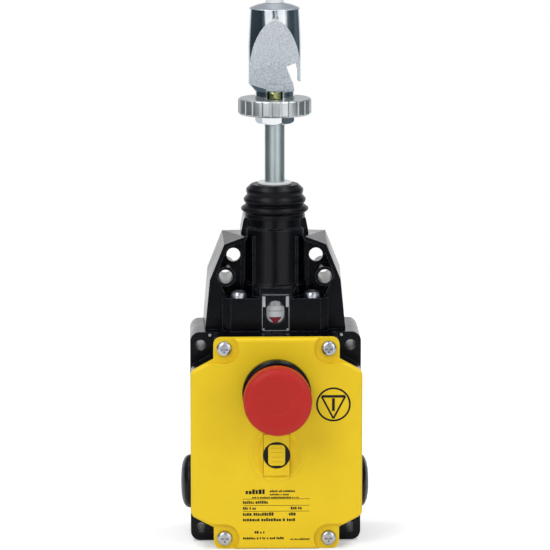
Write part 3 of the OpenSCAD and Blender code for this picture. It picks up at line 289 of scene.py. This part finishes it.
def two_shades(tree, value, low, dark, high, light):
    """A colour that goes from a dark shade at the low value to a light one at the high value."""
    ramp = tree.nodes.new("ShaderNodeValToRGB")
    ramp.color_ramp.elements[0].position = low
    ramp.color_ramp.elements[0].color = (*dark, 1)
    ramp.color_ramp.elements[1].position = high
    ramp.color_ramp.elements[1].color = (*light, 1)
    tree.links.new(value, ramp.inputs[0])
    return ramp.outputs[0]


def coating(
    name, colour, roughness, grain, depth, shade,
    metal=0.0, spread=0.08, specular=0.5, edge_wear_and_gleam=None, edge_reach=0.0004,
):
    """A painted, moulded or plated surface: two close shades, uneven gloss, a fine grain, and edges lightened
    partly as rubbed wear and partly as a painted highlight.
    """
    material, tree, shader = new_material(name)
    place = tree.nodes.new("ShaderNodeTexCoord")
    broad = noise(tree, place, 60, 6)
    fine = noise(tree, place, grain, 2)
    darker = [c * (1 - shade) for c in colour]
    lighter = [min(1, c * (1 + shade * 0.5)) for c in colour]
    paint = two_shades(tree, broad, 0.3, darker, 0.7, lighter)
    # Edges are lightened towards the edge colour: partly rubbed wear, partly a painted highlight for the
    # light on rounded edges.
    if edge_wear_and_gleam:
        round_edge = tree.nodes.new("ShaderNodeBevel")
        round_edge.samples = 6
        round_edge.inputs["Radius"].default_value = edge_reach
        surface = tree.nodes.new("ShaderNodeNewGeometry")
        agree = tree.nodes.new("ShaderNodeVectorMath")
        agree.operation = "DOT_PRODUCT"
        tree.links.new(round_edge.outputs[0], agree.inputs[0])
        tree.links.new(surface.outputs["Normal"], agree.inputs[1])
        edge = remap(tree, agree.outputs["Value"], 0.998, 0.95)
        rub_and_gleam_patches = remap(tree, noise(tree, place, 420, 4), 0.36, 0.56)
        amount = tree.nodes.new("ShaderNodeMath")
        amount.operation = "MULTIPLY"
        tree.links.new(edge, amount.inputs[0])
        tree.links.new(rub_and_gleam_patches, amount.inputs[1])
        wear_and_gleam_mix = tree.nodes.new("ShaderNodeMix")
        wear_and_gleam_mix.data_type = "RGBA"
        wear_and_gleam_mix.inputs["B"].default_value = (*edge_wear_and_gleam, 1)
        tree.links.new(amount.outputs[0], wear_and_gleam_mix.inputs["Factor"])
        tree.links.new(paint, wear_and_gleam_mix.inputs["A"])
        paint = wear_and_gleam_mix.outputs["Result"]
    tree.links.new(paint, shader.inputs["Base Color"])
    gloss = remap(tree, broad, 0.3, 0.7, roughness - spread / 2, roughness + spread / 2)
    tree.links.new(gloss, shader.inputs["Roughness"])
    bump = tree.nodes.new("ShaderNodeBump")
    bump.inputs["Strength"].default_value = 1
    bump.inputs["Distance"].default_value = depth
    tree.links.new(fine, bump.inputs["Height"])
    tree.links.new(bump.outputs[0], shader.inputs["Normal"])
    shader.inputs["Metallic"].default_value = metal
    shader.inputs["Specular IOR Level"].default_value = specular
    return material


# The grey edge colour is partly rubbed paint and partly a painted highlight standing in for the gleam on
# rounded edges.
black_paint = coating(
    "black_powder_coat", (0.0012, 0.0014, 0.0032), 0.24, grain=1300, depth=0.00004, shade=0.3, specular=0.2,
    edge_wear_and_gleam=(0.045, 0.045, 0.054), edge_reach=0.0006,
)
housing = refined("main_housing", "housing_casting", 0.0006)
dress(housing, black_paint)
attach(housing, "housing")
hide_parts("main_housing")

# Front cover
# The cover is injection moulded in yellow plastic, with a soft front edge and a sunk corner round each screw.
# It has a very fine matt texture with an even satin gloss.

# The yellow is made a little lighter along its rounded edges by the edge colour.
yellow_plastic = coating(
    "yellow_moulding", (0.81, 0.565, 0.013), 0.46, grain=2600, depth=0.00001, shade=0.035, spread=0.06,
    specular=0.22, edge_wear_and_gleam=(0.81, 0.59, 0.035),
)
cover = refined("front_cover", "moulded_cover", 0.0005, angle=30, segments=3)
dress(cover, yellow_plastic)
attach(cover, "housing")
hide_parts("front_cover")

# Printed marks on the cover
# The stop symbol and a block of fine print are screen printed in black ink on the moulded face. The symbol is
# an upside-down triangle in a ring, and the fine print is rows of plain dashes.


def blank_piece(name):
    deselect()
    bpy.ops.mesh.primitive_cube_add(size=0.001, location=(0, 0, 0))
    piece = bpy.context.object
    piece.name = name
    bpy.ops.object.mode_set(mode="EDIT")
    bpy.ops.mesh.select_all(action="SELECT")
    bpy.ops.mesh.delete(type="VERT")
    return piece


def flat_bar(x, y, z, width, height, thickness, turn=0.0):
    bpy.ops.mesh.primitive_cube_add(
        size=1, location=(x, y, z), rotation=(0, turn, 0), scale=(width, thickness, height),
    )


ink = coating(
    "printing_ink", (0.010, 0.009, 0.008), 0.5, grain=2400, depth=0.000006, shade=0.4, specular=0.2,
)
face_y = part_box("front_cover")[0].y
ink_t = 0.00004
ink_y = face_y - ink_t / 2
symbol_x, symbol_z = 0.0297, 0.0212
ring_r, line_w = 0.0086, 0.0010
triangle_w, triangle_h = 0.0124, 0.0118
bar_w, bar_h = 0.0015, 0.0068
symbol = blank_piece("stop_symbol")
bpy.ops.mesh.primitive_torus_add(
    major_radius=ring_r, minor_radius=line_w / 2, major_segments=96, minor_segments=8,
    location=(symbol_x, ink_y, symbol_z), rotation=(math.pi / 2, 0, 0),
)
bpy.ops.transform.resize(value=(1, ink_t / line_w, 1), center_override=(symbol_x, ink_y, symbol_z))
top_z = symbol_z + ring_r / 2
flat_bar(symbol_x, ink_y, top_z, triangle_w, line_w * 1.4, ink_t)
side = math.hypot(triangle_w / 2, triangle_h)
lean = math.atan2(triangle_w / 2, triangle_h)
for hand in [-1, 1]:
    flat_bar(
        symbol_x + hand * triangle_w / 4, ink_y, top_z - triangle_h / 2, line_w, side, ink_t,
        turn=hand * lean,
    )
flat_bar(symbol_x, ink_y, top_z - bar_h / 2 - line_w, bar_w, bar_h, ink_t)
bpy.ops.object.mode_set(mode="OBJECT")
dress(symbol, ink)
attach(symbol, "housing")

dashes = random.Random(4)
print_left, print_right = -0.0177, 0.0173
fine_print = blank_piece("fine_print_rows")
for start, end, z, height in [
    (-0.0163, -0.0065, -0.0256, 0.0021), (-0.0036, 0.0100, -0.0252, 0.0010),
    (-0.0036, 0.0064, -0.0270, 0.0008), (-0.0128, 0.0110, -0.0286, 0.0008),
    (print_left, -0.0046, -0.0312, 0.0013), (print_left, -0.0108, -0.0344, 0.0012),
    (0.0074, 0.0132, -0.0344, 0.0012), (print_left, -0.0020, -0.0376, 0.0014),
    (0.0065, 0.0100, -0.0376, 0.0014), (print_left, 0.0096, -0.0406, 0.0014),
    (-0.0116, -0.0064, -0.0473, 0.0012), (print_left, 0.0030, -0.0505, 0.0011),
    (0.0072, 0.0168, -0.0511, 0.0008),
]:
    x = start
    while x < end:
        mark = height * dashes.uniform(0.5, 0.85)
        tall = height * dashes.uniform(0.8, 1.25)
        flat_bar(x + mark / 2, ink_y, z + (tall - height) / 2, mark, tall, ink_t)
        x += mark + height * dashes.choice([0.18, 0.18, 0.18, 0.22, 0.7])
rule_h = 0.00022
for z in [-0.0293, -0.0328, -0.0359]:
    flat_bar((print_left + print_right) / 2, ink_y, z, print_right - print_left, rule_h, ink_t)
bpy.ops.object.mode_set(mode="OBJECT")
dress(fine_print, ink)
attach(fine_print, "housing")

# Screws of the cover and the head
# Pan-head steel screws with cross recesses hold the cover and the head on the housing, and two small steel
# pins locate the cover. All are bright zinc plated, which softens their edges.

zinc_plate = coating(
    "zinc_plate", (0.52, 0.54, 0.58), 0.3, grain=2200, depth=0.000012, shade=0.16, metal=1.0,
)
for node, name, slot in [
    ("cover_screws", "cover_pan_screws", "zinc_plated_steel"),
    ("head_screws", "head_pan_screws", "zinc_plated_steel"),
    ("locating_pins", "corner_pins", "zinc_plated_steel"),
]:
    screws = refined(node, name, 0.0002, angle=25)
    dress(screws, zinc_plate)
    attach(screws, "housing")
    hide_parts(node)

# Cable plugs
# The two unused cable entries in the housing's sides are closed by domed plugs. Each is moulded in black
# plastic and turned in against a rubber seal.

black_plastic = coating(
    "black_moulding", (0.004, 0.004, 0.0046), 0.28, grain=2200, depth=0.00001, shade=0.2, specular=0.2,
)
for side in ["left", "right"]:
    plug = refined("cable_plug_" + side, "domed_plug_" + side, 0.0003)
    dress(plug, black_plastic)
    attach(plug, "housing")
    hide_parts("cable_plug_" + side)

# Head casting
# The head is a second aluminium casting with the same black powder coat, screwed down on the housing. Its
# round tower stands between two thin drilled fins.

head = refined("head_casting", "head_casting_body", 0.0005)
dress(head, black_paint)
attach(head, "housing")
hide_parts("head_casting")

# Tension window
# A clear moulded lens is pressed into the front of the head; thin pale strips on its front are painted
# highlights for the light its cut edges catch. The white plastic sleeve behind it moves with the spindle and
# carries the printed tension mark, and its white has a faint painted glow.

lens_plastic = coating(
    "lens_plastic", (0.10, 0.11, 0.13), 0.05, grain=900, depth=0.000004, shade=0.04, spread=0.04,
)
lens_plastic.node_tree.nodes["Principled BSDF"].inputs["Alpha"].default_value = 0.08
lens = refined("window_lens", "clear_lens", 0.0004, segments=3)
dress(lens, lens_plastic)
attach(lens, "housing")
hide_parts("window_lens")

# The pale strips laid on the lens front are painted highlights standing in for the light caught by its cut
# edges.
painted_lens_gleam = coating(
    "painted_lens_gleam", (0.40, 0.42, 0.45), 0.2, grain=2000, depth=0.00001, shade=0.5, specular=0.8,
)
lens_low, lens_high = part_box("window_lens")
lens_front = lens_low.y
frame_x = (lens_high.x - lens_low.x) / 2 - 0.0003
thin_gleam = 0.0002
gleams = blank_piece("lens_edge_gleams")
for hand in [-1, 1]:
    for inset, z, width, height in [
        (0.0008, lens_high.z - 0.0042, 0.0016, 0.0056),
        (0, (lens_low.z + lens_high.z) / 2 - 0.0012, thin_gleam, 0.0165),
        (0.0007, lens_low.z + 0.0010, 0.0009, 0.0012),
    ]:
        flat_bar(hand * (frame_x - inset), lens_front, z, width, height, ink_t)
for z in [lens_low.z + 0.0004, lens_high.z - 0.0006]:
    flat_bar(0, lens_front, z, 2 * frame_x, thin_gleam, ink_t)
bpy.ops.object.mode_set(mode="OBJECT")
dress(gleams, painted_lens_gleam)
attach(gleams, "housing")

pale_plastic = coating("pale_moulding", (0.86, 0.87, 0.89), 0.4, grain=2400, depth=0.00001, shade=0.05)
glowing_sleeve_white = coating("glowing_sleeve_white", (0.92, 0.93, 0.95), 0.35, grain=2400, depth=0.00001, shade=0.04)
# The sleeve's white is given a faint glow, painted light that brightens it inside the dark window.
shader = glowing_sleeve_white.node_tree.nodes["Principled BSDF"]
shader.inputs["Emission Color"].default_value = (0.92, 0.94, 1, 1)
shader.inputs["Emission Strength"].default_value = 0.12
dress(nodes["indicator_sleeve"], glowing_sleeve_white)
sleeve_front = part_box("indicator_sleeve")[0].y


def sleeve_print(name, finish, top, width, height, taper):
    """A flat print laid round the front of the sleeve, drawn in towards its foot by the taper."""
    piece = blank_piece(name)
    middle = (0, sleeve_front - 0.0005, top - height / 2)
    bpy.ops.mesh.primitive_grid_add(
        x_subdivisions=12, y_subdivisions=8, size=1, location=middle, rotation=(math.pi / 2, 0, 0),
    )
    bpy.ops.transform.resize(value=(width, 1, height), center_override=middle)
    bpy.ops.object.mode_set(mode="OBJECT")
    for vertex in piece.data.vertices:
        vertex.co.x *= 1 - taper * (top - vertex.co.z) / height
    wrap = piece.modifiers.new("on_the_sleeve", "SHRINKWRAP")
    wrap.target = nodes["indicator_sleeve"]
    wrap.wrap_method = "NEAREST_SURFACEPOINT"
    wrap.offset = ink_t
    pick(piece)
    bpy.ops.object.modifier_apply(modifier=wrap.name)
    dress(piece, finish)
    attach(piece, "spindle")


red_ink = coating("red_ink", (0.42, 0.012, 0.03), 0.45, grain=2400, depth=0.000006, shade=0.1, specular=0.2)
grey_ink = coating(
    "grey_ink", (0.34, 0.32, 0.36), 0.45, grain=2400, depth=0.000006, shade=0.1, specular=0.2,
)
sleeve_print(
    "tension_arrow", red_ink,
    top=lens_low.z + 0.0064, width=0.0076, height=0.0038, taper=0.92,
)
sleeve_print(
    "tension_line", grey_ink,
    top=lens_low.z + 0.0098, width=0.0080, height=0.0003, taper=0,
)

# Bellows
# The rubber bellows is moulded in three round folds that get smaller towards the spindle. Its foot grips the
# tower and its mouth grips the spindle.

black_rubber = coating(
    "black_rubber", (0.0028, 0.0030, 0.0048), 0.34, grain=1600, depth=0.00003, shade=0.3, specular=0.16,
)
bellows = refined("bellows", "folded_bellows", 0.0004, angle=20, segments=3)
dress(bellows, black_rubber)
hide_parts("bellows")
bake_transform(bellows)

# Spindle
# The spindle is a drawn steel bar with a plated shank and a rolled thread above the lock nut. A pale plastic
# washer lies on the mouth of the bellows.

shank_steel = coating(
    "plated_shank", (0.46, 0.52, 0.53), 0.42, grain=2500, depth=0.00001, shade=0.12, metal=1.0,
)
spindle = refined("spindle", "plated_spindle", 0.0002)
dress(spindle, shank_steel)
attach(spindle, "spindle")
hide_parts("spindle")
washer = refined("bellows_washer", "pale_washer", 0.0002)
dress(washer, pale_plastic)
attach(washer, "spindle")
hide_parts("bellows_washer")
bright_plate = coating(
    "bright_plate", (0.74, 0.76, 0.78), 0.2, grain=2200, depth=0.00001, shade=0.12, metal=1.0,
)
nut = refined("lock_nut", "lock_nut_hexagon", 0.0002)
dress(nut, bright_plate)
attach(nut, "spindle")
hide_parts("lock_nut")

# Tension wheel
# A flat turned steel wheel with coarse upright grip flutes, zinc plated. It runs on the spindle's thread and
# sets the height of the rope clamp.

wheel_plate = coating(
    "wheel_plate", (0.56, 0.59, 0.60), 0.4, grain=1700, depth=0.00002, shade=0.2, metal=1.0,
)
wheel = refined("tension_wheel", "fluted_wheel", 0.0002)
dress(wheel, wheel_plate)
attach(wheel, "tension_wheel")
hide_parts("tension_wheel")

# Rope clamp
# The clamp is a plated zinc casting. Its round sides are polished and its sloping front is left grainy, down
# to a slanting line above the neck, where the polish starts again.

clamp_plate = coating(
    "clamp_plate", (0.68, 0.72, 0.75), 0.13, grain=1900, depth=0.00001, shade=0.2, metal=1.0,
)
grainy_cast = coating(
    "grainy_casting", (0.60, 0.64, 0.68), 0.46, grain=1500, depth=0.00007, shade=0.1, metal=1.0, spread=0.16,
)
tree = grainy_cast.node_tree
shader = tree.nodes["Principled BSDF"]
place = tree.nodes.new("ShaderNodeTexCoord")
speck = noise(tree, place, 1900, 3)
speckled = two_shades(tree, speck, 0.38, (0.42, 0.46, 0.50), 0.62, (0.68, 0.72, 0.76))
tree.links.new(speckled, shader.inputs["Base Color"])
clamp = refined("rope_clamp", "cast_clamp", 0.0003)
dress(clamp, clamp_plate)
clamp.data.materials.append(grainy_cast)
clamp_low, clamp_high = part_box("rope_clamp")
left_foot_z = min(v.co.z for v in clamp.data.vertices if v.co.x < clamp_low.x + 0.0004)
slant_start = Vector((clamp_low.x, 0, left_foot_z + 0.0002))
slant_end = Vector((0.0020, 0, left_foot_z - 0.0046))
slant_up = Vector((slant_start.z - slant_end.z, 0, slant_end.x - slant_start.x)).normalized()
pick(clamp)
bpy.ops.object.mode_set(mode="EDIT")
bpy.ops.mesh.select_all(action="SELECT")
bpy.ops.mesh.bisect(plane_co=slant_start, plane_no=slant_up)
bpy.ops.object.mode_set(mode="OBJECT")
shade_evenly(clamp)
clamp_axis_y = (nodes["lock_nut"].bound_box[0][1] + nodes["lock_nut"].bound_box[6][1]) / 2
foremost_y = clamp_axis_y - 0.0139
dome_foot_z = clamp_high.z - 0.0035
for face in clamp.data.polygons:
    flat_front = abs(face.normal.x) < 0.02 and face.normal.y < -0.8 and face.center.y > foremost_y
    domed_top = face.normal.z > 0.3 and face.center.z > dome_foot_z
    under_the_slant = (face.center - slant_start).dot(slant_up) < 0 and face.center.x < slant_end.x
    if (flat_front and not under_the_slant) or domed_top:
        face.material_index = 1
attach(clamp, "rope_clamp")
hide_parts("rope_clamp")

# Front web of the clamp
# A thin cast skin closes the thread bore at the foot of the grainy face, just above the neck nut. It is cast
# in one with the clamp.

spindle_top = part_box("spindle")[1].z
web_low, web_high = clamp_low.z + 0.0040, spindle_top + 0.0007
web_y = clamp_axis_y - 0.0058
web_w, web_t, web_edge = 0.0094, 0.0011, 0.00025
web = blank_piece("clamp_front_web")
flat_bar(0, web_y, (web_low + web_high) / 2, web_w, web_high - web_low, web_t)
bpy.ops.mesh.select_all(action="SELECT")
bpy.ops.mesh.bevel(offset=web_edge, segments=2, affect="EDGES")
bpy.ops.object.mode_set(mode="OBJECT")
dress(web, grainy_cast)
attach(web, "rope_clamp")

# Neck nut and rope guide
# The neck nut is a hexagon of yellow passivated steel at the foot of the clamp. A pale moulded plastic tube
# is pressed into the clamp's top and guides the rope out of it.

olive_zinc = coating(
    "yellow_passivation", (0.52, 0.56, 0.24), 0.25, grain=2500, depth=0.00001, shade=0.4, metal=1.0,
)
neck = refined("neck_nut", "neck_nut_hexagon", 0.0002)
dress(neck, olive_zinc)
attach(neck, "rope_clamp")
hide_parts("neck_nut")
guide = refined("rope_guide", "guide_tube", 0.0003)
dress(guide, pale_plastic)
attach(guide, "rope_clamp")
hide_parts("rope_guide")

# Emergency stop
# A red moulded plastic mushroom button slides in a black plastic collar, which is fixed in the cover. The
# button's face keeps the faint turned rings of its mould.

# The red is made lighter along its rounded edges by the edge colour.
red_plastic = coating(
    "red_moulding", (0.46, 0.020, 0.016), 0.45, grain=2400, depth=0.00001, shade=0.05, specular=0.2,
    edge_wear_and_gleam=(0.55, 0.06, 0.045),
)
tree = red_plastic.node_tree
shader = tree.nodes["Principled BSDF"]
cap_low, cap_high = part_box("estop_cap")
place = tree.nodes.new("ShaderNodeTexCoord")
centred = tree.nodes.new("ShaderNodeVectorMath")
centred.operation = "SUBTRACT"
centred.inputs[1].default_value = (cap_low + cap_high) / 2
tree.links.new(place.outputs["Object"], centred.inputs[0])
turned = tree.nodes.new("ShaderNodeTexWave")
turned.wave_type = "RINGS"
turned.rings_direction = "Y"
turned.inputs["Scale"].default_value = 110
tree.links.new(centred.outputs[0], turned.inputs["Vector"])
ring_bump = tree.nodes.new("ShaderNodeBump")
ring_bump.inputs["Strength"].default_value = 1
ring_bump.inputs["Distance"].default_value = 0.00003
tree.links.new(turned.outputs["Fac"], ring_bump.inputs["Height"])
tree.links.new(shader.inputs["Normal"].links[0].from_socket, ring_bump.inputs["Normal"])
tree.links.new(ring_bump.outputs[0], shader.inputs["Normal"])
cap = refined("estop_cap", "mushroom_cap", 0.0003, segments=3)
dress(cap, red_plastic)
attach(cap, "estop")
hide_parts("estop_cap")
collar = refined("estop_collar", "button_collar", 0.0003)
dress(collar, black_plastic)
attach(collar, "housing")
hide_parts("estop_collar")

# Reset knob
# A yellow moulded knob sits in a round dish of the cover and turns a steel shaft. Two thin dark strips beside
# its grip bar are painted shade for narrow grooves, and a black plastic ring goes round its thumb pad.

knob = refined("reset_knob", "dished_knob", 0.0003)
dress(knob, yellow_plastic)
# The dish faces get a lighter yellow than the cover: painted light that lifts the shade in the hollow dish.
painted_light_dish_yellow = coating(
    "painted_light_dish_yellow", (0.87, 0.65, 0.03), 0.46, grain=2600, depth=0.00001, shade=0.035, spread=0.06,
    specular=0.22,
)
knob.data.materials.append(painted_light_dish_yellow)
knob_low, knob_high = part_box("reset_knob")
dish_y = knob_low.y + 0.0008
for face in knob.data.polygons:
    if face.center.y > dish_y:
        face.material_index = 1
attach(knob, "reset")
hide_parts("reset_knob")
knob_z = (knob_low.z + knob_high.z) / 2
# Two thin dark brown strips laid beside the grip bar are painted shade standing in for the shadow in narrow
# grooves.
groove_shade = coating(
    "painted_groove_shade", (0.30, 0.19, 0.012), 0.5, grain=2400, depth=0.00001, shade=0.1, specular=0.1,
)
groove_x, groove_w, groove_h = 0.0069, 0.00022, 0.0235
groove_shadows = blank_piece("painted_groove_shadows")
for hand in [-1, 1]:
    flat_bar(hand * groove_x, knob_low.y - ink_t / 2, knob_z, groove_w, groove_h, ink_t)
bpy.ops.object.mode_set(mode="OBJECT")
dress(groove_shadows, groove_shade)
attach(groove_shadows, "reset")
ridge_w, ridge_h, ridge_t, ridge_edge = 0.0062, 0.0005, 0.0004, 0.00012
pad_lines = blank_piece("thumb_pad_ridges")
for level in [-0.0036, -0.0012, 0.0012, 0.0036]:
    flat_bar(0, knob_low.y - ridge_edge, knob_z + level, ridge_w, ridge_h, ridge_t)
bpy.ops.mesh.select_all(action="SELECT")
bpy.ops.mesh.bevel(offset=ridge_edge, segments=2, affect="EDGES")
bpy.ops.object.mode_set(mode="OBJECT")
dress(pad_lines, yellow_plastic)
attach(pad_lines, "reset")
ring = refined("reset_ring", "black_ring", 0.0002)
dress(ring, black_plastic)
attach(ring, "reset")
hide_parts("reset_ring")

# Springs
# Five coil springs of drawn wire sit between a fixed seat and a sliding part. Each keeps its modelled length
# and is fixed to the housing.

spring_wire = coating(
    "spring_wire", (0.34, 0.34, 0.36), 0.3, grain=2600, depth=0.00001, shade=0.25, metal=1.0,
)
for node, joint, axis, seat in [
    ("main_spring", "spindle_pull", (0, 0, 1), 1),
    ("estop_spring", "estop_press", (0, 1, 0), 1),
    ("latch_spring", "latch_slide", (0, 0, 1), 0),
    ("plunger_spring_right", "plunger_right_slide", (1, 0, 0), 1),
    ("plunger_spring_left", "plunger_left_slide", (1, 0, 0), 0),
]:
    spring = refined(node, node + "_coils", 0)
    dress(spring, spring_wire)
    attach(spring, "housing")
    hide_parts(node)
    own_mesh(spring)

# Inner parts
# Contacts, levers and seals stay as they are modelled, fixed or sliding inside the housing. Each has the
# finish of its own metal, rubber or plastic.

contact_brass = coating(
    "contact_brass", (0.66, 0.46, 0.16), 0.28, grain=2200, depth=0.00001, shade=0.2, metal=1.0,
)
sintered_bronze = coating(
    "sintered_bronze", (0.42, 0.29, 0.13), 0.45, grain=2600, depth=0.00002, shade=0.3, metal=1.0,
)
for finish, group in [
    (zinc_plate, [
        "estop_clip", "estop_yoke", "reset_shaft", "latch_plate", "latch_plate_screws", "latch_bar",
        "spring_plate", "retaining_rings", "cam_nut", "terminal_screws", "block_screws",
    ]),
    (contact_brass, [
        "estop_bridges", "contact_bridge_left", "contact_bridge_right", "fixed_contacts", "earth_screw",
    ]),
    (sintered_bronze, ["guide_bush"]),
    (black_rubber, ["cover_gasket", "head_gasket", "plug_seals", "reset_seal"]),
    (black_plastic, ["contact_block_left", "contact_block_right", "estop_nut"]),
    (pale_plastic, [
        "estop_stem", "estop_rods", "switch_cam", "contact_plunger_left", "contact_plunger_right",
    ]),
]:
    for node in group:
        dress(nodes[node], finish)
